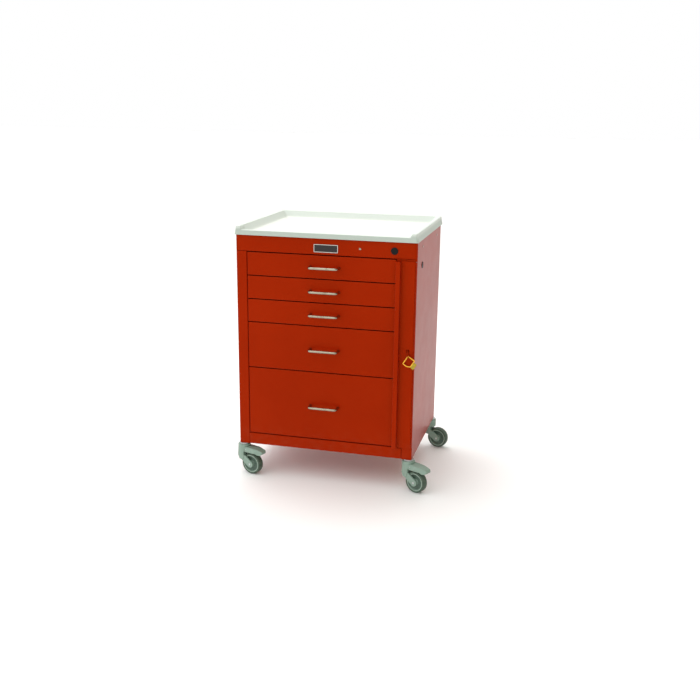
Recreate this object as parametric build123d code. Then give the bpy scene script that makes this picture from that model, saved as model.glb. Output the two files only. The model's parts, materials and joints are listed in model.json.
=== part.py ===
from build123d import *
import os

# Crash cart: a steel cabinet with five drawers on four swivel casters, a moulded tray on
# top and a hinged bar down the right side that a plastic seal holds shut.
# Frame: origin on the floor under the cabinet's centre, +Z up, drawers open towards -Y.

# ---- driving dimensions (mm) ----
INCH = 25.4
CABINET_W = 24 * INCH
CABINET_D = 18 * INCH
DRAWER_PITCH = 3.125 * INCH
DRAWER_UNITS = (1, 1, 1, 2, 3)      # drawer heights from the top, in pitches
CASTER_H = 111.0                    # floor to the cabinet's underside
BOTTOM_RAIL_H = 40.4
TOP_RAIL_H = 55.8
STILE_W = 36.0
SHEET = 1.2                         # cabinet steel
FRONT_DEPTH = 18.0                  # depth of a drawer's front pan
REVEAL = 1.5                        # half of the gap between two drawer fronts

BAR_LEFT, BAR_STEP = 238.5, 254.0   # the bar's raised strip, across
BAR_STAND = 21.0                    # raised strip in front of the cabinet's face
HINGE_X = 302.2
HINGE_PITCH = 0.5 * INCH            # one knuckle of each leaf
KNUCKLE_R, PIN_R = 2.4, 1.2
RUNNING = 0.05                      # radial clearance of a hinge or axle

SLIDE_H, SLIDE_T, SLIDE_L = 45.0, 12.7, 410.0
SLIDE_GAP = 0.35                    # between nested slide members

WHEEL_R, WHEEL_W = 37.5, 24.0
TRAIL = 34.0                        # stem to wheel axle
STEM_INSET = 11.5
CROWN_R = 21.5
FORK_OUT, FORK_IN = 18.6, 14.0      # fork legs, outer and inner faces
PEDAL_TRAVEL = 8.0                  # degrees

TRAY_RIM_H = 28.2
TRAY_RIM_W = 15.0
BOX_WALL = 1.0
SEAM, CORNER_W = 0.4, 4.0             # gap at a welded seam, stile left beside the top rail
HANDLE_SPAN, HANDLE_R, HANDLE_STAND = 96.0, 4.3, 28.0
SCREW_R = 2.0
STEM_R, CAP_H, CROWN_GAP = 5.0, 4.0, 1.0
CROWN_TOP = CASTER_H - CAP_H - CROWN_GAP
CROWN_BOTTOM, SOCKET_TOP = 52.0, 85.5
BOSS_R, AXLE_R = 12.0, 4.0
PEDAL_PIN = (16.8, 88.5)            # x and z of the brake's pivot
PEDAL_HALF_W, PEDAL_INSIDE = 17.5, 13.0
PEDAL_TIP_X, PEDAL_DECK_Z = 56.0, 79.2

# ---- derived places ----
HALF_W, FRONT, BACK = CABINET_W / 2, -CABINET_D / 2, CABINET_D / 2
BASE_Z = CASTER_H
DRAWERS_Z0 = BASE_Z + BOTTOM_RAIL_H
DRAWERS_Z1 = DRAWERS_Z0 + sum(DRAWER_UNITS) * DRAWER_PITCH
TOP_Z = DRAWERS_Z1 + TOP_RAIL_H
OPENING_X = HALF_W - STILE_W
DRAWER_X0, DRAWER_X1 = -OPENING_X + 1.8, BAR_LEFT - 1.5
POST_X0, POST_X1 = -OPENING_X, BAR_LEFT          # faces that carry the slides
SLIDE_CENTRE = (POST_X0 + POST_X1) / 2
BOX_HALF_W = (POST_X1 - POST_X0) / 2 - SLIDE_T
BOX_Y0, BOX_Y1 = FRONT + FRONT_DEPTH, BACK - 29.0
SLIDE_Y0 = FRONT + FRONT_DEPTH + 4.0
HINGE_Y = FRONT - KNUCKLE_R - 0.1
FLAT_Y0, FLAT_Y1 = HINGE_Y - 1.7, HINGE_Y - 0.5  # the bar's flat strip
BAR_Z0, BAR_Z1 = DRAWERS_Z0 + 1.0, DRAWERS_Z1 - 4.5
SEAL_Z = BAR_Z0 + 301.0
STEMS = {"front_left": (-1, -1, -16), "front_right": (1, -1, -25),
         "rear_left": (-1, 1, -20), "rear_right": (1, 1, -13)}   # side, end, trailing angle


# ---- helpers ----
def block(x0, x1, y0, y1, z0, z1):
    """A box between two corners."""
    centre = Pos((x0 + x1) / 2, (y0 + y1) / 2, (z0 + z1) / 2)
    return centre * Box(abs(x1 - x0), abs(y1 - y0), abs(z1 - z0))


def rod(axis, centre, radius, length):
    """A cylinder along X, Y or Z about its centre."""
    turn = {"X": Rot(0, 90, 0), "Y": Rot(90, 0, 0), "Z": Rot(0, 0, 0)}[axis]
    return Pos(*centre) * turn * Cylinder(radius, length)


def folded(points, thickness, bend=1.5):
    """Section of a sheet folded at right angles. The points follow one face, and the
    metal lies to their left (thickness > 0) or right (thickness < 0)."""
    path = [Vector(*p) for p in points]
    ways = [(b - a).normalized() for a, b in zip(path, path[1:])]
    lefts = [Vector(-w.Y, w.X) for w in ways]
    shifts = [lefts[0]] + [a + b for a, b in zip(lefts, lefts[1:])] + [lefts[-1]]
    other = [p + s * thickness for p, s in zip(path, shifts)]
    turns = [a.cross(b).Z * thickness > 0 for a, b in zip(ways, ways[1:])]
    wide, tight = bend + abs(thickness), bend
    face = FilletPolyline(*path, radius=[wide if t else tight for t in turns])
    back = FilletPolyline(*other[::-1], radius=[tight if t else wide for t in turns][::-1])
    return make_face([face, Line(face @ 1, back @ 0), back, Line(back @ 1, face @ 0)])


def upright(section, z0, z1):
    """A section drawn in plan, drawn up from z0 to z1."""
    return extrude(Pos(0, 0, z0) * section, z1 - z0, dir=(0, 0, 1))


def across(section, x0, x1):
    """A section drawn in the YZ plane, drawn along X."""
    return extrude(Plane.YZ.offset(x0) * section, x1 - x0, dir=(1, 0, 0))


def at_stem(name, shape):
    """Puts a caster piece, drawn about its stem and trailing towards +X, in its place."""
    side, end, angle = STEMS[name]
    x, y = side * (HALF_W - STEM_INSET), end * (BACK - STEM_INSET)
    return Pos(x, y, 0) * Rot(0, 0, angle) * shape


def write(name, *shapes):
    solids = [s for shape in shapes for s in shape.solids()]
    export_step(solids[0] if len(solids) == 1 else Compound(solids), f"parts/{name}.step")


# ---- cabinet ----
def side_panel():
    """Left side: stile with a return lip, side wall and rear flange from one sheet."""
    lip, rear = 12.0, 20.0
    plan = [(-OPENING_X, FRONT + lip), (-OPENING_X, FRONT), (-HALF_W, FRONT),
            (-HALF_W, BACK), (-HALF_W + rear, BACK)]
    panel = upright(folded(plan, -SHEET), BASE_Z, TOP_Z - SHEET)
    stile_end = block(-HALF_W + CORNER_W, -OPENING_X + 1, FRONT - 1, FRONT + lip + 1,
                      DRAWERS_Z1 + REVEAL - SEAM, TOP_Z)
    return panel - stile_end


def front_rail(z0, z1, reach):
    """A channel from -reach to reach, with flanges that point back. The top one runs over
    the stiles' ends, and the bottom one fits between them."""
    depth = 20.0
    section = [(FRONT + depth, z1), (FRONT, z1), (FRONT, z0), (FRONT + depth, z0)]
    return across(folded(section, SHEET), -reach, reach)


def base_pan():
    floor = block(-HALF_W + SHEET + 0.3, HALF_W - SHEET - 0.3, FRONT + SHEET + 1.6,
                  BACK - 2 * SHEET, BASE_Z + SHEET, BASE_Z + SHEET + 2)
    for side in (-1, 1):
        x = side * (OPENING_X + SHEET / 2)
        floor -= block(x - 1, x + 1, FRONT, FRONT + 12.4, BASE_Z, BASE_Z + 10)
        for end in (-1, 1):
            stem = (side * (HALF_W - STEM_INSET), end * (BACK - STEM_INSET), BASE_Z)
            floor -= rod("Z", stem, STEM_R, 20)
    return fillet(floor.edges().filter_by(Axis.Z).group_by(SortBy.LENGTH)[0]
                  .filter_by(lambda e: abs(e.center().X) > HALF_W - 2), 2.5)


def slide_posts():
    """Two uprights that carry the slides; the right one also closes the opening
    behind the hinged bar."""
    z0, z1 = DRAWERS_Z0 - REVEAL + 0.1, DRAWERS_Z1 + REVEAL - 0.1
    back, flange = BACK - 2 * SHEET, 20.0
    left = [(POST_X0, FRONT + 12.4), (POST_X0, back), (POST_X0 - flange, back)]
    right = [(OPENING_X - 0.4, FRONT + 2), (POST_X1, FRONT + 2), (POST_X1, back),
             (POST_X1 + flange, back)]
    return (upright(folded(left, SHEET), z0, z1), upright(folded(right, -SHEET), z0, z1))


def slide_member(x_back, x_open, height, z):
    """A C channel whose web is at x_back and whose flanges reach x_open (left side)."""
    section = [(x_open, height / 2), (x_back, height / 2), (x_back, -height / 2),
               (x_open, -height / 2)]
    lean = 1 if x_open > x_back else -1
    channel = extrude(Plane.XZ * folded(section, lean * SHEET, 0.6), -SLIDE_L)
    return Pos(0, SLIDE_Y0, z) * channel


def slide_pair(x_back, x_open, height, z):
    left = slide_member(x_back, x_open, height, z)
    mirrored = mirror(left, about=Plane.YZ)
    return (left, Pos(2 * SLIDE_CENTRE, 0, 0) * mirrored)


def rivet(axis, x, y, z, way):
    """Domed head with a short shank behind it; way is the side the head faces."""
    head, shank = {"X": ((way, 0, 0), (-way, 0, 0)), "Y": ((0, way, 0), (0, -way, 0))}[axis]
    place = Vector(x, y, z)
    dome = rod(axis, tuple(place + Vector(*head) * 0.6), 4.0, 1.2)
    dome = chamfer(dome.faces().sort_by(Axis(tuple(place), head))[-1].edges(), 0.8)
    return dome + rod(axis, tuple(place + Vector(*shank) * 1.5), 2.0, 3.0)


def hole_plug(axis, x, y, z, way, radius):
    out = {"X": Vector(way, 0, 0), "Y": Vector(0, way, 0)}[axis]
    place = Vector(x, y, z)
    head = rod(axis, tuple(place + out * 0.9), radius, 1.8)
    head = fillet(head.faces().sort_by(Axis(tuple(place), tuple(out)))[-1].edges(), 1.2)
    return head + rod(axis, tuple(place - out * 3), radius - 1.5, 6.0)


# ---- hinged bar ----
def knuckle_steps(odd):
    count = int((BAR_Z1 - BAR_Z0) / (HINGE_PITCH / 2))
    return [BAR_Z0 + HINGE_PITCH / 2 * i for i in range(count) if i % 2 == odd]


def hinge_leaf(odd, x0, y0, y1, bore):
    """A strip with a knuckle in every second half pitch, cut clear of the others."""
    knuckle = HINGE_PITCH / 2 - 0.3
    reach = HINGE_X - 2.9
    plate = block(x0, reach, y0, y1, BAR_Z0, BAR_Z1)
    ring = Circle(KNUCKLE_R) + Pos((reach - HINGE_X) / 2, (y0 + y1) / 2 - HINGE_Y) * \
        Rectangle(HINGE_X - reach, y1 - y0)
    ring -= Circle(bore)
    rings = [upright(Pos(HINGE_X, HINGE_Y) * ring, z, z + knuckle) for z in knuckle_steps(odd)]
    return plate.fuse(*rings)


def breakaway_bar():
    """Flat strip on the hinge, a step forward and a raised strip with closed ends, a lug
    for the seal and a slot that lets the cabinet's tongue through."""
    face = FRONT - BAR_STAND
    plan = [(HINGE_X - 3, FLAT_Y0), (BAR_STEP, FLAT_Y0), (BAR_STEP, face), (BAR_LEFT, face),
            (BAR_LEFT, FLAT_Y1)]
    bar = upright(folded(plan, -SHEET), BAR_Z0, BAR_Z1)
    for z in (BAR_Z0, BAR_Z1 - SHEET):
        bar += block(BAR_LEFT + 1, BAR_STEP - 1, face + 1, FLAT_Y1, z, z + SHEET)
    bar -= block(277, 285.8, FLAT_Y0 - 2, FLAT_Y1 + 2, SEAL_Z + 29, SEAL_Z + 40)
    lug = block(285, 287, FLAT_Y0 - 14, FLAT_Y0, SEAL_Z + 11, SEAL_Z + 26)
    lug = fillet(lug.edges().filter_by(Axis.X).group_by(Axis.Y)[0], 5)
    return bar + (lug - rod("X", (286, FLAT_Y0 - 8, SEAL_Z + 18.5), 3.8, 10))


def lock_tongue():
    foot = block(270, 284, FRONT - 1.5, FRONT, SEAL_Z + 30, SEAL_Z + 39)
    blade = block(282, 284, FRONT - 15, FRONT, SEAL_Z + 30, SEAL_Z + 39)
    blade = fillet(blade.edges().filter_by(Axis.X).group_by(Axis.Y)[0], 3)
    return foot + blade - rod("X", (283, FRONT - 10, SEAL_Z + 34.5), 2.4, 10)


SEAL_PLANE = Plane(origin=(288, FLAT_Y0 - 8, SEAL_Z), x_dir=(0.84, 0, -0.543), z_dir=(0, -1, 0))


def seal_loop():
    """The closed loop of a padlock seal: a rounded rectangle of round strip."""
    path = [(13, 15.5), (-13, 15.5), (-13, -15.5), (3, -15.5), (13, -9)]
    wire = FilletPolyline(*path, close=True, radius=3)
    start = Plane(origin=wire @ 0, z_dir=wire % 0)
    return SEAL_PLANE * sweep(start * Circle(1.4), path=wire)


def seal_tag():
    tag = Pos(20.4, -1, 0) * Box(11.8, 22, 3.6)
    tag = fillet(tag.edges().filter_by(Axis.Z), 2.5)
    return SEAL_PLANE * tag


# ---- drawers ----
def drawer_levels():
    """(bottom, top) of each drawer front, from the top drawer down."""
    top = DRAWERS_Z1
    levels = []
    for units in DRAWER_UNITS:
        levels.append((top - units * DRAWER_PITCH + REVEAL, top - REVEAL))
        top -= units * DRAWER_PITCH
    return levels


def drawer_front(z0, z1):
    """A pan with rounded front edges, open at the back."""
    pan = block(DRAWER_X0, DRAWER_X1, FRONT, FRONT + FRONT_DEPTH, z0, z1)
    pan = fillet(pan.faces().sort_by(Axis.Y)[0].edges(), 2.5)
    pan -= block(DRAWER_X0 + SHEET, DRAWER_X1 - SHEET, FRONT + SHEET, FRONT + 99,
                 z0 + SHEET, z1 - SHEET)
    for x in (-HANDLE_SPAN / 2, HANDLE_SPAN / 2):
        pan -= rod("Y", (x, FRONT, (z0 + z1) / 2), SCREW_R, 20)
    return pan


def drawer_box(z0, z1):
    """Welded box of plates, each meeting the next face to face: floor, four walls and the
    inner plate that closes the back of the front pan."""
    x0, x1 = SLIDE_CENTRE - BOX_HALF_W, SLIDE_CENTRE + BOX_HALF_W
    floor_z, wall_top = z0 + 3, z1 - 8
    wall_z = floor_z + BOX_WALL
    floor = block(x0, x1, BOX_Y0, BOX_Y1, floor_z, wall_z)
    left = block(x0, x0 + BOX_WALL, BOX_Y0, BOX_Y1, wall_z, wall_top)
    right = block(x1 - BOX_WALL, x1, BOX_Y0, BOX_Y1, wall_z, wall_top)
    front = block(x0 + BOX_WALL, x1 - BOX_WALL, BOX_Y0, BOX_Y0 + BOX_WALL, wall_z, wall_top)
    back = block(x0 + BOX_WALL, x1 - BOX_WALL, BOX_Y1 - BOX_WALL, BOX_Y1, wall_z, wall_top)
    inner_plate = block(DRAWER_X0 + 1.5, DRAWER_X1 - 1.5, BOX_Y0 - 1.4, BOX_Y0,
                        z0 + 1.5, z1 - 1.5)
    return floor, left, right, front, back, inner_plate


def drawer_handle(z):
    """Bow pull of round rod with two screws from inside the front pan."""
    half, out = HANDLE_SPAN / 2, FRONT - HANDLE_STAND
    path = FilletPolyline((-half, FRONT, z), (-half, out, z), (half, out, z),
                          (half, FRONT, z), radius=9)
    bow = sweep(Plane(origin=path @ 0, z_dir=path % 0) * Circle(HANDLE_R), path=path)
    screws = []
    for x in (-half, half):
        bow -= rod("Y", (x, FRONT - 5, z), SCREW_R, 10)
        screws.append(rod("Y", (x, FRONT - 5 + SHEET / 2, z), SCREW_R, 10 + SHEET)
                      + rod("Y", (x, FRONT + SHEET + 1.5, z), 4.0, 3))
    return bow, *screws


# ---- casters, drawn about the stem with the wheel trailing towards +X ----
def caster_stem():
    """Bolt with bearing cap, collar and nut; the crown turns on its shank."""
    stem = rod("Z", (0, 0, (CROWN_TOP + SOCKET_TOP) / 2), STEM_R, CROWN_TOP - SOCKET_TOP + 8)
    stem += rod("Z", (0, 0, SOCKET_TOP - 2.4), 8.8, 4)
    stem += rod("Z", (0, 0, BASE_Z - CAP_H / 2), 17, CAP_H)
    stem += rod("Z", (0, 0, BASE_Z + SHEET / 2), 9.4, SHEET)
    stem += rod("Z", (0, 0, BASE_Z + 8), STEM_R, 16)
    nut = extrude(RegularPolygon(9.2, 6), 8)
    return stem + Pos(0, 0, BASE_Z + SHEET + 2) * nut


def wheel_envelope(radius, half_width):
    return rod("Y", (TRAIL, 0, WHEEL_R), radius, 2 * half_width)


def fork_leg():
    """Side plate from the crown down to a round boss at the axle."""
    boss = Pos(TRAIL, WHEEL_R) * Circle(BOSS_R)
    outline = [(-13, 98), (9, 98), (9, 68), (13.5, 66), (TRAIL + 8.6, WHEEL_R + 8.4),
               (TRAIL - 7.2, WHEEL_R - 9.6), (-11, 58), (-15, 64)]
    return make_face(Polyline(*outline, close=True)) + boss


def caster_fork(braked):
    crown = rod("Z", (0, 0, (CROWN_TOP + CROWN_BOTTOM) / 2), CROWN_R, CROWN_TOP - CROWN_BOTTOM)
    crown = fillet(crown.faces().sort_by(Axis.Z)[-1].edges(), 2)
    lower = [(-30, 66), (-CROWN_R, 66), (-8, CROWN_BOTTOM - 1), (30, CROWN_BOTTOM - 1),
             (30, 0), (-30, 0)]
    crown -= extrude(Plane.XZ * make_face(Polyline(*lower, close=True)), 40, both=True)
    crown -= block(8, 40, -40, 40, 0, 80)
    fork = crown
    for y in (-FORK_OUT, FORK_IN):
        fork += extrude(Plane.XZ.offset(-y) * fork_leg(), -(FORK_OUT - FORK_IN))
    fork -= wheel_envelope(WHEEL_R + 2.5, FORK_IN)
    fork -= rod("Z", (0, 0, SOCKET_TOP - 20), 9.5, 40)
    fork -= rod("Z", (0, 0, CROWN_TOP), STEM_R + RUNNING, 60)
    fork -= rod("Y", (TRAIL, 0, WHEEL_R), AXLE_R, 60)
    if braked:
        fork -= rod("Y", (PEDAL_PIN[0], 0, PEDAL_PIN[1]), 2.0, 60)
    return fork


def caster_axle(braked):
    pins = [rod("Y", (TRAIL, 0, WHEEL_R), AXLE_R, 2 * FORK_OUT + 1)]
    if braked:
        pins.append(rod("Y", (PEDAL_PIN[0], 0, PEDAL_PIN[1]), 2.0, 34))
    return pins


def brake_pedal():
    """Flat hood swung down by the foot, as four touching solids: a deck over the wheel
    that ends at the crown, two sides that flank the crown and carry the pin, and a deeper
    tip beyond the wheel."""
    deck_z, half_w = PEDAL_DECK_Z, PEDAL_HALF_W
    side = [(9, deck_z), (PEDAL_TIP_X, deck_z), (63, 75.2), (74, 75.2), (82, 80), (84, 86),
            (80, 91), (58, 96), (30, 98), (9, 98)]
    hood = extrude(Plane.XZ * make_face(Polyline(*side, close=True)), half_w, both=True)
    plan = make_face(Polyline((9, -half_w), (50, -half_w), (84, -12), (84, 12),
                              (50, half_w), (9, half_w), close=True))
    hood &= upright(fillet(plan.vertices().group_by(Axis.X)[-1], 7), 60, 110)
    hood = fillet(hood.faces().filter_by(lambda f: f.normal_at().Z > 0.5).edges()
                  .filter_by(lambda e: e.center().X > 26), 2)
    tip = hood & block(PEDAL_TIP_X, 100, -40, 40, 50, 120)
    rear = hood & block(-20, PEDAL_TIP_X, -40, 40, 50, 120)
    inside = block(-20, 100, -PEDAL_INSIDE, PEDAL_INSIDE, 50, 120)
    pivot = Axis((PEDAL_PIN[0], 0, PEDAL_PIN[1]), (0, 1, 0))
    cutter = rod("Y", (PEDAL_PIN[0], 0, PEDAL_PIN[1]), 2.0 + RUNNING, 60)
    crown = rod("Z", (0, 0, 85), CROWN_R + 0.5, 60) + block(-20, 10.5, -30, 30, 50, 110)
    for press in (0, PEDAL_TRAVEL / 2, PEDAL_TRAVEL):
        cutter += crown.rotate(pivot, -press)
    return [tip] + [piece - cutter for piece in (rear & inside, *(rear - inside).solids())]


def caster_hub():
    """Moulded wheel centre: rim ring, thin web and boss."""
    rim, boss = WHEEL_R - 6.5, 10.0
    hub = rod("Y", (TRAIL, 0, WHEEL_R), rim, WHEEL_W - 2)
    for side in (-1, 1):
        groove = rod("Y", (TRAIL, side * 9, WHEEL_R), rim - 3.5, 9) - \
            rod("Y", (TRAIL, side * 9, WHEEL_R), boss, 9)
        hub -= groove
    hub += rod("Y", (TRAIL, 0, WHEEL_R), boss, 2 * FORK_IN - 1)
    return hub - rod("Y", (TRAIL, 0, WHEEL_R), AXLE_R + RUNNING, 60)


def caster_tyre():
    tyre = fillet(wheel_envelope(WHEEL_R, WHEEL_W / 2).edges().filter_by(GeomType.CIRCLE), 3.5)
    return tyre - rod("Y", (TRAIL, 0, WHEEL_R), WHEEL_R - 6.5, 60)


# ---- tray top ----
def tray_top():
    """Moulded tray: drafted skirt, raised rim on three sides, a lower front lip between
    two corner posts and sloped walls down to the floor."""
    out_x, out_front, out_back = HALF_W + 3.0, FRONT - 10.4, BACK + 21.0 - 0.4
    draft, floor_z = 4.3, TOP_Z + 4.5
    rim_z, lip_z = TOP_Z + TRAY_RIM_H, TOP_Z + 16.2

    def slab(grow, z):
        x, y0, y1 = out_x + grow, out_front - grow / 4, out_back + grow / 4
        sketch = Pos(0, (y0 + y1) / 2, z) * RectangleRounded(2 * x, y1 - y0, 7)
        return sketch

    tray = loft([slab(0, TOP_Z), slab(-draft, rim_z)])
    tray = fillet(tray.faces().sort_by(Axis.Z)[-1].edges(), 1.8)
    x_in = out_x - draft - TRAY_RIM_W
    y0, y1 = out_front + TRAY_RIM_W, out_back - TRAY_RIM_W
    slope = 14.0
    mouth = Pos(0, (y0 + y1) / 2, rim_z + 0.01) * RectangleRounded(2 * x_in, y1 - y0, 10)
    floor = Pos(0, (y0 + y1) / 2 + 3, floor_z) * \
        RectangleRounded(2 * (x_in - slope), y1 - y0 - 2 * slope, 8)
    tray -= loft([floor, mouth])
    notch = block(-x_in + 1, x_in - 1, out_front - 5, y0 + 12, lip_z, rim_z + 5)
    notch = fillet(notch.edges().filter_by(Axis.Y).group_by(Axis.Z)[0], 4)
    tray -= notch
    under = block(-out_x + 3, out_x - 3, out_front + 3, out_back - 3, TOP_Z - 1, lip_z - 4)
    under -= block(-x_in + 2, x_in - 2, y0 - 2, y1 + 2, TOP_Z - 2, rim_z)
    return tray - under


def main():
    os.makedirs("parts", exist_ok=True)
    left = side_panel()
    right = mirror(left, about=Plane.YZ)
    plug_z, plug_y = TOP_Z - 29.8, FRONT + 91
    screw_places = [(FRONT + 91, TOP_Z - 23.8), (BACK - 91, TOP_Z - 23.8)]
    side_plug = hole_plug("X", HALF_W, plug_y, DRAWERS_Z1 - 29, 1, 10.8)
    front_plug = hole_plug("Y", 230.2, FRONT, plug_z, -1, 11.8)
    button = rivet("Y", 117.2, FRONT, plug_z + 1, -1)
    rivets = [rivet("X", s * HALF_W, y, z, s) for s in (-1, 1) for y, z in screw_places]
    for r in rivets + [side_plug]:
        left -= r
        right -= r
    top_rail = front_rail(DRAWERS_Z1 + REVEAL, TOP_Z - SHEET, HALF_W - CORNER_W - SEAM)
    top_rail -= front_plug + button

    write("left_side_panel", left)
    write("right_side_panel", right)
    write("top_rail", top_rail)
    write("bottom_rail", front_rail(BASE_Z, DRAWERS_Z0 - REVEAL, OPENING_X - SEAM))
    write("back_panel", block(-HALF_W + 3, HALF_W - 3, BACK - 2 * SHEET, BACK - SHEET,
                              BASE_Z + SHEET + 2, TOP_Z - SHEET))
    deck = block(-HALF_W + 0.4, HALF_W - 0.4, FRONT + 0.4, BACK - 0.4, TOP_Z - SHEET, TOP_Z)
    write("top_deck", fillet(deck.edges().filter_by(Axis.Z), 2.5))
    write("base_pan", base_pan())
    write("slide_posts", *slide_posts())
    write("hole_plugs", front_plug, side_plug)
    write("rivets", button, *rivets)
    badge = Pos(3.7, FRONT - 0.9, TOP_Z - 33) * Rot(90, 0, 0) * \
        extrude(RectangleRounded(81, 26, 2), 0.9, both=True)
    field = Pos(3.7, FRONT - 1.8, TOP_Z - 33) * Box(77, 1.0, 22)
    write("badge_plate", badge - field)
    write("tray_top", tray_top())

    write("hinge_fixed_leaf", hinge_leaf(1, HINGE_X - 14, FRONT - 1.0, FRONT, PIN_R))
    write("hinge_moving_leaf", hinge_leaf(0, HINGE_X - 12, FLAT_Y1, FLAT_Y1 + 1.0,
                                          PIN_R + RUNNING))
    write("hinge_pin", rod("Z", (HINGE_X, HINGE_Y, (BAR_Z0 + BAR_Z1) / 2), PIN_R,
                           BAR_Z1 - BAR_Z0))
    write("breakaway_bar", breakaway_bar())
    write("lock_tongue", lock_tongue())
    write("seal_loop", seal_loop())
    write("seal_tag", seal_tag())

    outer_x = POST_X0 + 9.8
    middle_h = SLIDE_H - 2 * SHEET - 2 * SLIDE_GAP
    inner_h = middle_h - 2 * SHEET - 2 * SLIDE_GAP
    middle_x0, middle_x1 = POST_X0 + SHEET + SLIDE_GAP, POST_X0 + SLIDE_T - SHEET - SLIDE_GAP
    inner_x = POST_X0 + SLIDE_T
    outers = []
    for number, (z0, z1) in enumerate(drawer_levels(), 1):
        slide_z = z0 + 33
        outers += slide_pair(POST_X0, outer_x, SLIDE_H, slide_z)
        middles = slide_pair(middle_x0, middle_x1, middle_h, slide_z)
        inners = slide_pair(inner_x, middle_x0 + SHEET + SLIDE_GAP, inner_h, slide_z)
        write(f"drawer_{number}_front", drawer_front(z0, z1))
        write(f"drawer_{number}_box", *drawer_box(z0, z1), *inners)
        write(f"drawer_{number}_handle", *drawer_handle((z0 + z1) / 2))
        write(f"drawer_{number}_slide_middles", *middles)
    write("slide_outer_members", *outers)

    write("caster_stems", *[at_stem(name, caster_stem()) for name in STEMS])
    for name in STEMS:
        braked = name.startswith("front")
        write(f"{name}_fork", at_stem(name, caster_fork(braked)))
        write(f"{name}_axle", *[at_stem(name, pin) for pin in caster_axle(braked)])
        write(f"{name}_hub", at_stem(name, caster_hub()))
        write(f"{name}_tyre", at_stem(name, caster_tyre()))
        if braked:
            write(f"{name}_brake_pedal", *[at_stem(name, piece) for piece in brake_pedal()])


main()
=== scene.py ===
import json
import math

import bmesh
import bpy
import numpy as np
from mathutils import Matrix, Vector


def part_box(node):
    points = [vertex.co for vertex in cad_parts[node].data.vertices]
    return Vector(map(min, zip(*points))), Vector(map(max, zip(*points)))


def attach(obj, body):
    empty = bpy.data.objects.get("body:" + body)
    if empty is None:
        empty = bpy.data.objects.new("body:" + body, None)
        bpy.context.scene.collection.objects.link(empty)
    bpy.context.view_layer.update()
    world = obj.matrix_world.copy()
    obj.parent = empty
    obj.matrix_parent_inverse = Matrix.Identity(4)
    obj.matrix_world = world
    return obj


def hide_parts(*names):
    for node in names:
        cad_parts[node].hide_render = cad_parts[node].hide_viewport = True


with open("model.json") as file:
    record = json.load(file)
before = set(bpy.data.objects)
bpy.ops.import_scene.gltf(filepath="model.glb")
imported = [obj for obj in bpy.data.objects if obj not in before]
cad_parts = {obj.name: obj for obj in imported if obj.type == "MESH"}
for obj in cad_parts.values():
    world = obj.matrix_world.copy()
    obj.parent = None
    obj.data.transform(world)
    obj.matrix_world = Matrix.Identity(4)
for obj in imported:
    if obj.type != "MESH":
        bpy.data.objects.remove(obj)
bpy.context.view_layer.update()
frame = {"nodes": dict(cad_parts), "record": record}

MM = 0.001
CORNERS = ("front_left", "front_right", "rear_left", "rear_right")
DRAWERS = range(1, 6)

# ---- places read from the cart's own nodes, in metres ----
FACE_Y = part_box("drawer_1_front")[0].y


# ---- surfaces ----
def grid(points, around=True, along=False):
    """Quads of a grid of points (rows, columns, xyz): every four neighbours make one face.
    `around` joins the last column to the first, and `along` the last row to the first."""
    rows, columns = points.shape[:2]
    index = np.arange(rows * columns).reshape(rows, columns)
    if around:
        index = np.concatenate([index, index[:, :1]], axis=1)
    if along:
        index = np.concatenate([index, index[:1]], axis=0)
    quads = np.stack([index[:-1, :-1], index[:-1, 1:], index[1:, 1:], index[1:, :-1]], axis=-1)
    return points.reshape(-1, 3), quads.reshape(-1, 4)


def make_piece(name, shapes, body, slot_name, *nodes, crease=38):
    """One mesh of several shapes, riding on a body in place of some nodes. Points that meet
    are merged, which closes the poles, and every face is turned outwards."""
    starts = np.cumsum([0] + [len(points) for points, _ in shapes])
    points = np.concatenate([points for points, _ in shapes])
    faces = np.concatenate([quads + start for (_, quads), start in zip(shapes, starts)])
    mesh = bpy.data.meshes.new(name)
    mesh.from_pydata(points.tolist(), [], faces.tolist())
    work = bmesh.new()
    work.from_mesh(mesh)
    bmesh.ops.remove_doubles(work, verts=work.verts, dist=0.002 * MM)
    bmesh.ops.recalc_face_normals(work, faces=work.faces)
    work.to_mesh(mesh)
    work.free()
    mesh.polygons.foreach_set("use_smooth", np.ones(len(mesh.polygons), bool))
    mesh.set_sharp_from_angle(angle=math.radians(crease))
    piece = bpy.data.objects.new(name, mesh)
    bpy.context.scene.collection.objects.link(piece)
    mesh.materials.append(finishes[slot_name])
    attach(piece, body)
    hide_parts(*nodes)
    return piece


def turned(profile, centre, axis, steps=96, swell=None):
    """A profile turned about an axis: at angle t, the point (a, r) stands a along the axis
    and r out from it in the direction cos t, sin t. `swell` adds to a, by angle and r."""
    axis = np.array(axis, float) / np.linalg.norm(axis)
    side = np.cross(axis, (0.0, 0.0, 1.0))
    side = side / np.linalg.norm(side)
    up = np.cross(side, axis)
    angle = np.linspace(0, 2 * np.pi, steps, endpoint=False)
    a, r = np.array(profile, float).T
    along = np.repeat(a[:, None], steps, axis=1)
    if swell is not None:
        along = along + np.sign(along) * swell(angle[None, :], r[:, None])
    out = np.cos(angle)[:, None] * side + np.sin(angle)[:, None] * up
    return np.array(centre) + along[..., None] * axis + r[:, None, None] * out[None, :, :]


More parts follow.
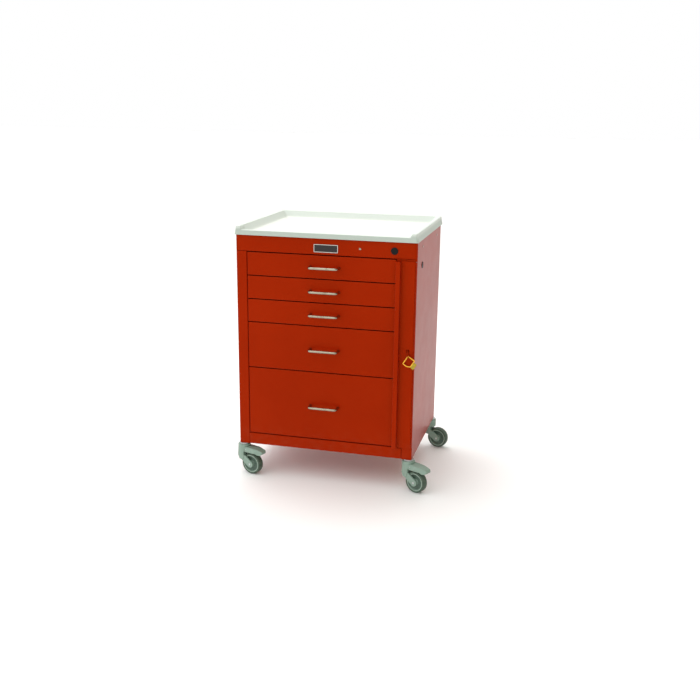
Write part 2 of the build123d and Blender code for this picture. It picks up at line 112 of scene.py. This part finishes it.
def tube(path, radius, steps=28):
    """A round section carried along a path that lies in a level plane: at each point the
    section's circle stands on the path's sideways normal and on the vertical. The radius
    may change along the path, and each end closes to a pole."""
    way = np.gradient(path, axis=0)
    way /= np.linalg.norm(way, axis=1)[:, None]
    up = np.array((0.0, 0.0, 1.0))
    side = np.cross(way, up)
    angle = np.linspace(0, 2 * np.pi, steps, endpoint=False)
    ring = np.cos(angle)[None, :, None] * side[:, None, :] + np.sin(angle)[None, :, None] * up
    body = path[:, None, :] + np.asarray(radius)[:, None, None] * ring
    first = np.repeat(path[:1, None, :], steps, axis=1)
    last = np.repeat(path[-1:, None, :], steps, axis=1)
    return np.concatenate([first, body, last])


def arc(centre, radius, start, end, steps):
    """Points round a circle from one angle to another, in degrees."""
    angle = np.radians(np.linspace(start, end, steps))
    return np.stack([centre[0] + radius * np.cos(angle), centre[1] + radius * np.sin(angle)], 1)


def step_up(value, low, high):
    """0 below low, 1 above high, and the cubic 3t^2 - 2t^3 between."""
    t = np.clip((value - low) / (high - low), 0, 1)
    return t * t * (3 - 2 * t)


# ---- shader maths ----
class Value:
    """A number that changes over the surface. Arithmetic on it adds Math nodes."""

    def __init__(self, nodes, socket):
        self.nodes, self.socket = nodes, socket

    def math(self, operation, *inputs):
        return self.nodes.node("ShaderNodeMath", {"operation": operation},
                               dict(enumerate(inputs)))

    def __add__(self, other):
        return self.math("ADD", self, other)

    def __radd__(self, other):
        return self.math("ADD", other, self)

    def __sub__(self, other):
        return self.math("SUBTRACT", self, other)

    def __rsub__(self, other):
        return self.math("SUBTRACT", other, self)

    def __mul__(self, other):
        return self.math("MULTIPLY", self, other)

    def __rmul__(self, other):
        return self.math("MULTIPLY", other, self)

    def __abs__(self):
        return self.math("ABSOLUTE", self)

    def ramp(self, low, high):
        """0 below low, 1 above high and a smooth step between, or falling if low > high."""
        return self.nodes.node("ShaderNodeMapRange", {"interpolation_type": "SMOOTHSTEP"},
                               {"Value": self, "From Min": low, "From Max": high})


def linear(red, green, blue):
    """A display colour, 0 to 255, as the linear colour that shaders take."""
    return tuple(((c / 255 + 0.055) / 1.055) ** 2.4 if c > 10 else c / 255 / 12.92
                 for c in (red, green, blue)) + (1.0,)


class Nodes:
    """A node tree of a material or of the surround. `node` makes every node in it."""

    def __init__(self, tree):
        self.tree = tree

    def node(self, kind, settings=None, inputs=None, output=0):
        """Makes a node: its settings first, then the values or links of its sockets."""
        made = self.tree.nodes.new(kind)
        for name, value in (settings or {}).items():
            setattr(made, name, value)
        for name, value in (inputs or {}).items():
            if isinstance(value, Value):
                self.tree.links.new(value.socket, made.inputs[name])
            else:
                made.inputs[name].default_value = value
        return Value(self, made.outputs[output])

    def mixed(self, share, first, second):
        """The first colour where share is 0, the second where it is 1."""
        return self.node("ShaderNodeMix", {"data_type": "RGBA"},
                         {0: share, 6: first, 7: second}, output=2)


class Paint(Nodes):
    """One material on a Principled shader."""

    def __init__(self, name, **constants):
        self.material = bpy.data.materials.new(name)
        self.material.use_nodes = True
        super().__init__(self.material.node_tree)
        self.shader = self.tree.nodes["Principled BSDF"]
        for socket, value in constants.items():
            self.shader.inputs[socket.replace("_", " ")].default_value = value
        self.place = self.node("ShaderNodeTexCoord", output="Object")

    def axes(self):
        """The point's x, y and z in metres."""
        return [self.node("ShaderNodeSeparateXYZ", inputs={"Vector": self.place}, output=name)
                for name in ("X", "Y", "Z")]

    def noise(self, per_metre, detail=3.0, roughness=0.55, stretch=(1, 1, 1)):
        """Soft noise, 0 to 1, with that many cells to the metre."""
        place = self.node("ShaderNodeMapping", inputs={"Vector": self.place, "Scale": stretch})
        return self.node("ShaderNodeTexNoise", inputs={
            "Vector": place, "Scale": per_metre, "Detail": detail, "Roughness": roughness})

    def done(self, colour, roughness, height=None, depth=0.1 * MM, metallic=None):
        """Feeds the shader: colour, roughness, metallic, and height through a Bump node."""
        for name, value in (("Base Color", colour), ("Roughness", roughness),
                            ("Metallic", metallic)):
            if value is not None:
                self.tree.links.new(value.socket, self.shader.inputs[name])
        if height is not None:
            normal = self.node("ShaderNodeBump", inputs={
                "Height": height, "Strength": 1.0, "Distance": depth})
            self.tree.links.new(normal.socket, self.shader.inputs["Normal"])
        return self.material


def near(value, place, reach):
    """1 on a plane at that place, falling to 0 at `reach` to either side."""
    return abs(value - place).ramp(reach, 0.0)


# ---- finishes ----
def red_powder_coat():
    """Semi-gloss orange-red powder coat: orange-peel skin, slow change of depth, dust low
    down, and a pale line along the drawer fronts' top and bottom edges that is a painted
    highlight of their rounded edges catching light, broken up by paint rubbed thin. The pale
    sheen on a side seen at a slant is the shader's own gloss."""
    paint = Paint("red_powder_coat", Specular_IOR_Level=0.15, IOR=1.5,
                  Specular_Tint=(1.0, 0.62, 0.12, 1.0))
    x, y, z = paint.axes()
    tone = paint.noise(3.2).ramp(0.3, 0.7)
    colour = paint.mixed(tone, linear(147, 24, 1), linear(154, 28, 2))
    left, right = (corner.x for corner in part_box("drawer_1_front"))
    between = abs(x - (left + right) / 2).ramp((right - left) / 2 + 0.6 * MM, (right - left) / 2)
    front = near(y, FACE_Y, 1.6 * MM) * between
    scuffs = paint.noise(60, 5.0).ramp(0.52, 0.75)
    edges = None
    for number in DRAWERS:
        low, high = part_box(f"drawer_{number}_front")
        for level in (low.z, high.z):
            edge = near(z, level, 2.2 * MM)
            edges = edge if edges is None else edges + edge
    # Painted highlight on the drawer fronts' rounded edges: a constant 0.4 share everywhere
    # along them, plus real rubbed wear where the scuff noise is high.
    highlight_and_wear = edges * front * (0.4 + 0.5 * scuffs)
    colour = paint.mixed(highlight_and_wear, colour, linear(198, 70, 34))
    dust = z.ramp(0.22, 0.10) * paint.noise(35, 4.0).ramp(0.35, 0.8) * 0.15
    colour = paint.mixed(dust, colour, linear(150, 80, 58))
    roughness = 0.27 + 0.08 * paint.noise(18) + 0.25 * dust + 0.12 * highlight_and_wear
    skin = paint.noise(520, 2.0)
    return paint.done(colour, roughness, skin, depth=0.03 * MM)


def zinc_plate():
    """Bright zinc plate: cloudy grey metal with fine rolling marks along Y."""
    paint = Paint("zinc_plate")
    cloud = paint.noise(40, 4.0)
    rolled = paint.noise(700, 2.0, stretch=(1, 0.03, 1))
    colour = paint.mixed(cloud, linear(168, 171, 172), linear(205, 207, 206))
    metallic = 0.92 - 0.10 * cloud
    return paint.done(colour, 0.26 + 0.22 * cloud + 0.08 * rolled, rolled, 0.02 * MM, metallic)


def grey_box_paint():
    """Light grey satin paint of the drawer boxes: fine texture and long scuffs."""
    paint = Paint("grey_box_paint", IOR=1.48)
    scuff = paint.noise(90, 5.0, stretch=(1, 0.25, 1)).ramp(0.58, 0.78)
    colour = paint.mixed(paint.noise(6), linear(186, 188, 186), linear(199, 201, 198))
    colour = paint.mixed(scuff * 0.4, colour, linear(150, 152, 152))
    return paint.done(colour, 0.42 + 0.18 * scuff, paint.noise(650, 2.0), 0.05 * MM)


def tray_plastic():
    """Off-white moulded plastic: greyer rims, a floor painted paler as painted light from
    above, a skirt painted greyer on its outside as painted shade, mould grain and light
    scratches."""
    paint = Paint("tray_plastic", Specular_IOR_Level=0.4, IOR=1.48)
    x, y, z = paint.axes()
    low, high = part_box("tray_top")
    grain = paint.noise(850, 2.0)
    scratch = paint.noise(55, 6.0, stretch=(1, 0.08, 1)).ramp(0.62, 0.72)
    colour = paint.mixed(paint.noise(5), linear(203, 211, 203), linear(209, 216, 208))
    # Painted light: the floor inside the tray is painted paler, standing in for the top light
    # falling on it.
    lit_floor = z.ramp(low.z + 14 * MM, low.z + 4.6 * MM)
    colour = paint.mixed(lit_floor, colour, linear(216, 220, 212))
    # Painted shade: the skirt's outer faces below the rim are painted greyer, standing in for
    # the weaker light from the front and sides.
    outside = (near(y, low.y, 3.2 * MM) + near(y, high.y, 3.2 * MM)
               + near(abs(x), high.x, 6 * MM)).ramp(0.0, 0.9)
    shaded_skirt = outside * z.ramp(high.z - 2 * MM, high.z - 12 * MM)
    colour = paint.mixed(shaded_skirt * 0.8, colour, linear(166, 179, 168))
    roughness = 0.34 + 0.08 * grain + 0.18 * scratch
    return paint.done(colour, roughness, grain + 0.3 * scratch, 0.05 * MM)


def plate_metal():
    """Satin plate with a raised bright border and a darker brushed field."""
    paint = Paint("plate_metal")
    brushed = paint.noise(900, 2.0, stretch=(0.03, 1, 1))
    _, y, _ = paint.axes()
    low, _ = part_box("badge_plate")
    field = y.ramp(low.y + 0.1 * MM, low.y + 0.4 * MM)
    colour = paint.mixed(field, linear(196, 192, 186), linear(26, 18, 17))
    return paint.done(colour, 0.30 + 0.16 * brushed, brushed, 0.02 * MM, 0.9 - 0.8 * field)


def black_plastic():
    """Black moulded nylon with a fine grain and faint scuffs."""
    paint = Paint("black_plastic", Specular_IOR_Level=0.2, IOR=1.5)
    grain = paint.noise(900, 3.0)
    scuff = paint.noise(160, 4.0).ramp(0.55, 0.8)
    colour = paint.mixed(scuff, linear(8, 8, 8), linear(24, 23, 22))
    return paint.done(colour, 0.38 + 0.14 * grain, grain, 0.05 * MM)


def bright_chrome():
    """Polished chrome with faint polishing marks and a film of fingerprints."""
    paint = Paint("bright_chrome")
    film = paint.noise(75, 5.0).ramp(0.48, 0.8)
    marks = paint.noise(1400, 2.0, stretch=(0.05, 1, 1))
    colour = paint.mixed(film, linear(164, 156, 138), linear(132, 124, 106))
    return paint.done(colour, 0.12 + 0.12 * film, marks, 0.005 * MM, 1.0 - 0.04 * film)


def seal_yellow():
    """Yellow polyethylene, slightly waxy, with paler patches."""
    paint = Paint("seal_yellow", Subsurface_Weight=0.15, IOR=1.5)
    pale = paint.noise(180, 3.0).ramp(0.4, 0.75)
    colour = paint.mixed(pale, linear(240, 168, 20), linear(250, 190, 52))
    return paint.done(colour, 0.34 + 0.12 * pale, paint.noise(900, 2.0), 0.04 * MM)


def tag_olive():
    """Darker yellow-green tag of the same plastic, with mould grain."""
    paint = Paint("tag_olive", Subsurface_Weight=0.10, IOR=1.5)
    pale = paint.noise(200, 3.0).ramp(0.4, 0.75)
    colour = paint.mixed(pale, linear(158, 140, 6), linear(178, 160, 26))
    return paint.done(colour, 0.38 + 0.12 * pale, paint.noise(900, 2.0), 0.05 * MM)


def caster_nylon():
    """Grey-green nylon of the casters: mould grain, dust in the lower part, light scuffs.
    The wheel centre's own attributes darken its dished web as painted shade and lighten its
    rim as a painted highlight."""
    paint = Paint("caster_nylon", IOR=1.5)
    _, _, z = paint.axes()
    grain = paint.noise(700, 3.0)
    scuff = paint.noise(140, 5.0).ramp(0.56, 0.76)
    colour = paint.mixed(paint.noise(22), linear(122, 146, 131), linear(138, 160, 146))
    colour = paint.mixed(scuff * 0.35, colour, linear(182, 190, 180))
    grime = z.ramp(50 * MM, 5 * MM) * paint.noise(80, 4.0) * 0.3
    colour = paint.mixed(grime, colour, linear(92, 104, 92))
    # Painted shade: the dished web of the wheel centre is darkened where shade falls in the
    # recess.
    recess_shade = paint.node("ShaderNodeAttribute", {"attribute_name": "recess_shade"}, output="Fac")
    colour = paint.mixed(recess_shade * 0.75, colour, linear(44, 68, 54))
    # Painted highlight: the rim ring's outer face is painted paler where light catches it.
    rim = paint.node("ShaderNodeAttribute", {"attribute_name": "rim"}, output="Fac")
    colour = paint.mixed(rim * 0.6, colour, linear(176, 194, 178))
    return paint.done(colour, 0.40 + 0.14 * grain + 0.15 * scuff, grain, 0.06 * MM)


def tyre_rubber():
    """Dark grey-green rubber: fine grain and uneven pale dust."""
    paint = Paint("tyre_rubber", IOR=1.5)
    grain = paint.noise(800, 4.0)
    dust = paint.noise(120, 5.0).ramp(0.42, 0.72)
    colour = paint.mixed(dust * 0.5, linear(66, 84, 70), linear(104, 116, 100))
    return paint.done(colour, 0.58 + 0.16 * grain, grain, 0.08 * MM)


finishes = {
    "red_paint": red_powder_coat(),
    "zinc_steel": zinc_plate(),
    "box_steel": grey_box_paint(),
    "tray_plastic": tray_plastic(),
    "badge_metal": plate_metal(),
    "black_plastic": black_plastic(),
    "chrome": bright_chrome(),
    "seal_plastic": seal_yellow(),
    "seal_tag_plastic": tag_olive(),
    "caster_grey": caster_nylon(),
    "tyre": tyre_rubber(),
}
for subpart in frame["record"]["subparts"]:
    for holder in frame["nodes"][subpart["node"]].material_slots:
        holder.material = finishes[subpart["material_slot"]]


# ---- pulls ----
HANDLE_REACH = 28 * MM
HANDLE_HALF = 48 * MM
HANDLE_RADIUS = 4.3 * MM
HANDLE_BEND = 9 * MM
FOOT_REACH, FOOT_SWELL = 2.2 * MM, 1.1 * MM
SCREW_SEAT = 1.2 * MM
SCREW_PROFILE = ((0, 0), (0, 4.0), (1.4, 4.0), (2.2, 3.4), (2.8, 2.2), (3.0, 1.4), (2.2, 1.1),
                 (2.0, 0))


def bow_pull(number):
    """Bow of round rod: out from one foot, a quarter turn, straight across, a quarter turn
    and back. The radius swells by a bell curve at each foot, as a pressed collar, and by a
    slow bow of a few percent over the middle. Two domed screws hold it from inside."""
    low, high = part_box(f"drawer_{number}_handle")
    level = (low.z + high.z) / 2
    out, half, bend = FACE_Y - HANDLE_REACH, HANDLE_HALF, HANDLE_BEND
    turn = arc((-half + bend, out + bend), bend, 180, 270, 14)
    leg = np.stack([np.full(18, -half), np.linspace(FACE_Y, out + bend, 18)], 1)[:-1]
    across = np.stack([np.linspace(-half + bend, 0, 24)[1:], np.full(23, out)], 1)
    left = np.concatenate([leg, turn, across])
    right = left[::-1][1:] * (-1, 1)
    plan = np.concatenate([left, right])
    path = np.concatenate([plan, np.full((len(plan), 1), level)], 1)
    foot = np.exp(-((plan[:, 1] - FACE_Y) / FOOT_REACH) ** 2)
    middle = np.cos(plan[:, 0] / half * np.pi / 2)
    radius = HANDLE_RADIUS * (0.97 + 0.03 * middle) + FOOT_SWELL * foot
    shapes = [grid(tube(path, radius))]
    profile = np.array(SCREW_PROFILE) * MM
    for x in (-half, half):
        screw = turned(profile, (x, FACE_Y + SCREW_SEAT, level), (0, 1, 0), steps=32)
        shapes.append(grid(screw))
    make_piece(f"drawer_{number}_bow_pull", shapes, f"drawer_{number}", "chrome",
               f"drawer_{number}_handle")


for number in DRAWERS:
    bow_pull(number)


# ---- wheels, in mm: a along the axle, r out from it ----
TREAD_HALF, TREAD_R, TREAD_ARCH = 8.5, 37.5, 0.5
GROOVES, GROOVE_DEPTH, GROOVE_HALF = (-4.0, 4.0), 0.5, 0.5
SHOULDER_R, SHOULDER_CENTRE_R = 3.5, 33.5
TYRE_SEAT = ((12, 31.9), (11.3, 31.0), (-11.3, 31.0), (-12, 31.9))
CENTRE_PROFILE = ((13.5, 4.1), (13.5, 8.6), (12.6, 9.8), (6.2, 10.6), (4.9, 12.2), (4.5, 14),
                  (4.5, 17), (4.5, 20), (4.5, 23), (4.9, 25.6), (6.2, 27.2), (10.2, 27.8),
                  (11, 28.6), (11, 30.2), (10.4, 30.9))
RIB_COUNT, RIB_HEIGHT, RIB_MIDDLE_R, RIB_REACH = 5, 2.2, 18.5, 5.5


def wheel_place(corner):
    """Centre and axis of a wheel, from its own joint."""
    for joint in frame["record"]["behaviour"]["joints"]:
        if joint["name"] == f"{corner}_wheel_spin":
            return joint["pos_m"], joint["axis"]
    raise ValueError(f"no wheel joint for {corner}")


def tyre(corner):
    """Solid tyre: a closed profile turned about the axle. The tread is a shallow arch with
    two fine grooves, and the shoulders are quarter rounds."""
    centre, axis = wheel_place(corner)
    across = np.linspace(-TREAD_HALF, TREAD_HALF, 45)
    crown = TREAD_R - TREAD_ARCH * (across / TREAD_HALF) ** 2
    groove = GROOVE_DEPTH * sum(np.exp(-((across - place) / GROOVE_HALF) ** 2)
                                for place in GROOVES)
    tread = np.stack([across, crown - groove], 1)
    right = arc((TREAD_HALF, SHOULDER_CENTRE_R), SHOULDER_R, 90, 0, 9)[1:]
    left = arc((-TREAD_HALF, SHOULDER_CENTRE_R), SHOULDER_R, 180, 90, 9)[:-1]
    profile = np.concatenate([left, tread, right, TYRE_SEAT]) * MM
    make_piece(f"{corner}_solid_tyre", [grid(turned(profile, centre, axis, 120), along=True)],
               f"{corner}_wheel", "tyre", f"{corner}_tyre")


def wheel_centre(corner):
    """Moulded centre: rim ring, dished web and boss, turned about the axle. Five low ribs
    stand on the web, each the sixth power of a raised cosine of the angle."""
    centre, axis = wheel_place(corner)

    def ribs(angle, radius):
        web = np.exp(-(((radius / MM) - RIB_MIDDLE_R) / RIB_REACH) ** 4)
        return RIB_HEIGHT * MM * web * (0.5 + 0.5 * np.cos(RIB_COUNT * angle)) ** 6

    other = [(-a, r) for a, r in CENTRE_PROFILE[::-1]]
    profile = np.array(list(CENTRE_PROFILE) + other) * MM
    piece = make_piece(f"{corner}_wheel_centre",
                       [grid(turned(profile, centre, axis, 120, ribs), along=True)],
                       f"{corner}_wheel", "caster_grey", f"{corner}_hub")
    points = np.zeros(len(piece.data.vertices) * 3)
    piece.data.vertices.foreach_get("co", points)
    offset = points.reshape(-1, 3) - centre
    along = offset @ np.array(axis)
    out = np.linalg.norm(offset - along[:, None] * np.array(axis), axis=1) / MM
    # Masks for painted light: shade in the dished web and a highlight on the rim ring's outer
    # face.
    dished = step_up(out, 10.5, 12.5) * (1 - step_up(out, 26.5, 27.6))
    raised = step_up(out, 27.6, 28.4) * step_up(np.abs(along) / MM, 9.6, 10.6)
    for name, values in (("recess_shade", dished), ("rim", raised)):
        layer = piece.data.attributes.new(name, "FLOAT", "POINT")
        layer.data.foreach_set("value", values)


for corner in CORNERS:
    tyre(corner)
    wheel_centre(corner)


# ---- seal ----
def closed_path(corners, radius, steps=8):
    """Points round a closed outline of straight runs. At each corner a circle of that radius
    touches both runs, and the turn follows it from one touching point to the other."""
    corners = np.array(corners, float)
    before = np.roll(corners, 1, axis=0) - corners
    after = np.roll(corners, -1, axis=0) - corners
    before /= np.linalg.norm(before, axis=1)[:, None]
    after /= np.linalg.norm(after, axis=1)[:, None]
    half = np.arccos(np.clip((before * after).sum(1), -1, 1)) / 2
    middle = before + after
    middle /= np.linalg.norm(middle, axis=1)[:, None]
    centres = corners + middle * (radius / np.sin(half))[:, None]
    reach = (radius / np.tan(half))[:, None]
    start, end = corners + before * reach - centres, corners + after * reach - centres
    share = np.linspace(0, 1, steps)[None, :, None]
    bend = (np.pi - 2 * half)[:, None, None]
    turns = (np.sin((1 - share) * bend) * start[:, None] + np.sin(share * bend) * end[:, None])
    return (centres[:, None] + turns / np.sin(bend)).reshape(-1, 2)


SEAL_ACROSS = np.array((0.84, 0.0, -0.543))
SEAL_UP = np.array((0.543, 0.0, 0.84))
SEAL_OUT = np.array((0.0, -1.0, 0.0))
SEAL_CORNERS = ((13, 15.5), (-13, 15.5), (-13, -15.5), (3, -15.5), (13, -9))
SEAL_BEND, STRAP_HALF_W, STRAP_HALF_T = 3.0, 1.9, 1.35
SEAL_TOP = 20.3 * MM
TAG_HALF, TAG_PLACE, TAG_SQUARE, TAG_FLAT = (5.9, 11.0, 1.8), (20.4, -1.0), 0.35, 0.5
PINCH, PINCH_FROM = 0.12, 1.2


def seal_centre():
    """The seal's own centre: its outline's top left corner stands 20.3 mm above it."""
    low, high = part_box("seal_loop")
    return np.array(((low.x + high.x) / 2, (low.y + high.y) / 2, high.z - SEAL_TOP))


def seal_strap():
    """Loop of soft strip: an oval section carried round a closed outline. The oval's long
    way lies in the seal's plane, along the outline's own sideways direction."""
    flat = closed_path(SEAL_CORNERS, SEAL_BEND)
    way = np.roll(flat, -1, axis=0) - np.roll(flat, 1, axis=0)
    way /= np.linalg.norm(way, axis=1)[:, None]
    side = np.stack([way[:, 1], -way[:, 0]], 1)
    angle = np.linspace(0, 2 * np.pi, 20, endpoint=False)
    plane = flat[:, None] + STRAP_HALF_W * np.cos(angle)[None, :, None] * side[:, None]
    lift = np.broadcast_to(STRAP_HALF_T * np.sin(angle)[None, :, None],
                           plane.shape[:2] + (1,))
    points = seal_centre() + MM * (plane[..., :1] * SEAL_ACROSS + plane[..., 1:] * SEAL_UP
                                   + lift * SEAL_OUT)
    make_piece("seal_strap", [grid(points, along=True)], "breakaway_bar", "seal_plastic",
               "seal_loop")


def seal_marker():
    """Thick tag on the strap: a rounded block whose every coordinate is a cosine or sine
    raised to a small power, so that its faces are nearly flat and its edges soft."""
    tilt = np.linspace(-np.pi / 2, np.pi / 2, 33)[:, None]
    turn = np.linspace(0, 2 * np.pi, 64, endpoint=False)[None, :]

    def pull(wave, power):
        return np.sign(wave) * np.abs(wave) ** power

    half_w, half_l, half_t = TAG_HALF
    across = half_w * pull(np.cos(tilt), TAG_SQUARE) * pull(np.cos(turn), TAG_SQUARE)
    along = half_l * pull(np.cos(tilt), TAG_SQUARE) * pull(np.sin(turn), TAG_SQUARE)
    out = half_t * pull(np.sin(tilt), TAG_FLAT) * np.ones_like(turn)
    pinch = 1 - PINCH * np.cos(along / half_l * np.pi) * (np.abs(out) > PINCH_FROM)
    points = seal_centre() + MM * ((across[..., None] + TAG_PLACE[0]) * SEAL_ACROSS
                                   + (along[..., None] + TAG_PLACE[1]) * SEAL_UP
                                   + (out * pinch)[..., None] * SEAL_OUT)
    make_piece("seal_marker", [grid(points)], "breakaway_bar", "seal_tag_plastic", "seal_tag")


seal_strap()
seal_marker()


# ---- tray, in mm ----
TRAY_FLOOR, LIP_HEIGHT = 4.5, 16.2
SKIRT, RIM_WIDTH, WALL_SLOPE = 4.3, 15.0, 14.0
FOOT_SHARE, FOOT_WIDTH = 0.82, 6.4
POST_TAPER, POST_END = 7.0, 0.5
LIP_FROM, LIP_TO = 24.0, 44.0


def rounded_ring(half_x, front, back, radius, along_x, along_y, corner_steps=10):
    """Points round a rectangle with quarter-circle corners, from the front's left end. The
    points on a side crowd towards its ends, by the cosine of an even step."""
    spread_x = -np.cos(np.linspace(0, np.pi, along_x)) * (half_x - radius)
    middle, half_y = (front + back) / 2, (back - front) / 2
    spread_y = -np.cos(np.linspace(0, np.pi, along_y)) * (half_y - radius)
    corner_x, low, high = half_x - radius, front + radius, back - radius
    sides = [
        np.stack([spread_x, np.full(along_x, front)], 1),
        arc((corner_x, low), radius, -90, 0, corner_steps)[1:-1],
        np.stack([np.full(along_y, half_x), middle + spread_y], 1),
        arc((corner_x, high), radius, 0, 90, corner_steps)[1:-1],
        np.stack([-spread_x, np.full(along_x, back)], 1),
        arc((-corner_x, high), radius, 90, 180, corner_steps)[1:-1],
        np.stack([np.full(along_y, -half_x), middle - spread_y], 1),
        arc((-corner_x, low), radius, 180, 270, corner_steps)[1:-1],
    ]
    return np.concatenate(sides)


def moulded_tray():
    """Tray: a wall profile carried round a rounded rectangle. Each row of the profile is an
    inset, a height and a corner radius. Heights above the floor shrink along the front,
    by a smooth step in x and in y, which makes the low lip between two corner posts."""
    low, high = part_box("tray_top")
    floor, rim, lip = low.z + TRAY_FLOOR * MM, high.z, low.z + LIP_HEIGHT * MM
    skirt, width, slope = SKIRT, RIM_WIDTH, WALL_SLOPE
    tall = (rim - low.z) / MM
    rows = [(10, 0.0, 5), (0.6, 0.0, 6.6), (0.0, 0.6, 7), (0.9, 6, 7), (2.0, 13, 7),
            (3.2, 20, 7), (skirt - 0.2, tall - 3, 6.8), (skirt + 0.3, tall - 1.4, 6.4),
            (skirt + 1.1, tall - 0.5, 6), (skirt + 2.2, tall, 5.4),
            (skirt + width - 3.4, tall, 6), (skirt + width - 1.7, tall - 0.5, 8),
            (skirt + width - 0.6, tall - 1.5, 9), (skirt + width, tall - 3.2, 10)]
    inner = np.linspace(0.08, FOOT_SHARE, 9)
    rows += [(skirt + width + slope * t, tall - 3.2 - (tall - 7.7) * t, 10 - t) for t in inner]
    foot = np.linspace(0.2, 1, 6)
    drop = (tall - 3.2) - (tall - 7.7) * FOOT_SHARE - TRAY_FLOOR
    rows += [(skirt + width + slope * FOOT_SHARE + FOOT_WIDTH * t,
              TRAY_FLOOR + drop * (1 - t) ** 2, 9)
             for t in foot]
    rings = []
    for inset, height, radius in rows:
        inset_y = inset - skirt * 0.75 * min(inset / skirt, 1)
        plan = rounded_ring(high.x - inset * MM, low.y + inset_y * MM, high.y - inset_y * MM,
                            radius * MM, 320, 60)
        rings.append(np.concatenate([plan, np.full((len(plan), 1), low.z + height * MM)], 1))
    points = np.array(rings)
    post = high.x - (skirt + width) * MM
    beside = step_up(np.abs(points[..., 0]), post - POST_TAPER * MM, post - POST_END * MM)
    behind = step_up(points[..., 1], low.y + LIP_FROM * MM, low.y + LIP_TO * MM)
    full = np.maximum(beside, behind)
    share = (lip + (rim - lip) * full - floor) / (rim - floor)
    above = points[..., 2] - floor
    points[..., 2] = np.where(above > 0, floor + above * share, points[..., 2])
    middle = np.array((0, (low.y + high.y) / 2, 0))
    bottom = np.repeat((middle + (0, 0, low.z))[None, None, :], points.shape[1], axis=1)
    top = np.repeat((middle + (0, 0, floor))[None, None, :], points.shape[1], axis=1)
    make_piece("moulded_tray", [grid(np.concatenate([bottom, points, top]))], "cabinet",
               "tray_plastic", "tray_top", crease=30)


moulded_tray()


# ---- floor, light and camera ----
FLOOR_REACH = 30.0
BRIGHT, DIM, WHITE = (1.3, 1.3, 1.3, 1.0), (0.3, 0.28, 0.2, 1.0), (1.0, 1.0, 1.0, 1.0)
LAMPS = (("front_lamp", (-1.6, -3.2, 2.8), 2.4, 8, (1.0, 0.99, 0.97)),
         ("side_lamp", (3.2, 2.4, 1.6), 3.0, 3, (1.0, 0.93, 0.86)),
         ("top_lamp", (-0.6, 0.6, 3.2), 1.6, 34, (1.0, 1.0, 1.0)))
LAMP_AIM = (0.0, 0.0, 0.5)
EYE, EYE_ANGLES = (0.8130, -3.0871, 1.2815), (14.23, 15.27, 0.678)
LENS, SENSOR = 47.61, 36.0


def stage():
    """Level pale floor, three large lamps and a soft surround that lights the cart less
    from its right and shows itself plain white."""
    mesh = bpy.data.meshes.new("floor")
    reach = FLOOR_REACH
    mesh.from_pydata([(-reach, -reach, 0), (reach, -reach, 0), (reach, reach, 0),
                      (-reach, reach, 0)], [], [(0, 1, 2, 3)])
    floor = bpy.data.objects.new("floor", mesh)
    bpy.context.scene.collection.objects.link(floor)
    pale = Paint("pale_floor", IOR=1.3)
    colour = pale.mixed(pale.noise(0.7), linear(253, 253, 252), linear(255, 255, 254))
    mesh.materials.append(pale.done(colour, 0.8 + 0.1 * pale.noise(4)))

    world = bpy.data.worlds.new("surround")
    bpy.context.scene.world = world
    world.use_nodes = True
    surround = Nodes(world.node_tree)
    direction = surround.node("ShaderNodeTexCoord", output="Generated")
    right = surround.node("ShaderNodeSeparateXYZ", inputs={"Vector": direction}, output="X")
    seen = surround.node("ShaderNodeLightPath", output="Is Camera Ray")
    light = surround.mixed(right.ramp(0.1, 0.8), BRIGHT, DIM)
    colour = surround.mixed(seen, light, WHITE)
    world.node_tree.links.new(colour.socket, world.node_tree.nodes["Background"].inputs["Color"])

    for name, place, size, power, tint in LAMPS:
        light = bpy.data.lights.new(name, "AREA")
        light.size, light.energy, light.color = size, power, tint
        lamp = bpy.data.objects.new(name, light)
        bpy.context.scene.collection.objects.link(lamp)
        aim = np.array(LAMP_AIM) - place
        lamp.location = place
        lamp.rotation_mode = "QUATERNION"
        lamp.rotation_quaternion = Vector(aim).to_track_quat("-Z", "Y")


def camera():
    """Camera a little right of the front and above, from its heading, tilt and roll."""
    heading, tilt, roll = (math.radians(angle) for angle in EYE_ANGLES)
    ahead = np.array((-math.sin(heading) * math.cos(tilt), math.cos(heading) * math.cos(tilt),
                      -math.sin(tilt)))
    right = np.array((math.cos(heading), math.sin(heading), 0.0))
    down = np.cross(ahead, right)
    across = math.cos(roll) * right - math.sin(roll) * down
    below = math.sin(roll) * right + math.cos(roll) * down
    data = bpy.data.cameras.new("view")
    data.lens, data.sensor_width = LENS, SENSOR
    eye = bpy.data.objects.new("view", data)
    bpy.context.scene.collection.objects.link(eye)
    turn = Matrix(np.stack([across, -below, -ahead], axis=1).tolist()).to_4x4()
    turn.translation = EYE
    eye.matrix_world = turn
    bpy.context.scene.camera = eye


stage()
camera()
bpy.context.scene.view_settings.view_transform = "Standard"
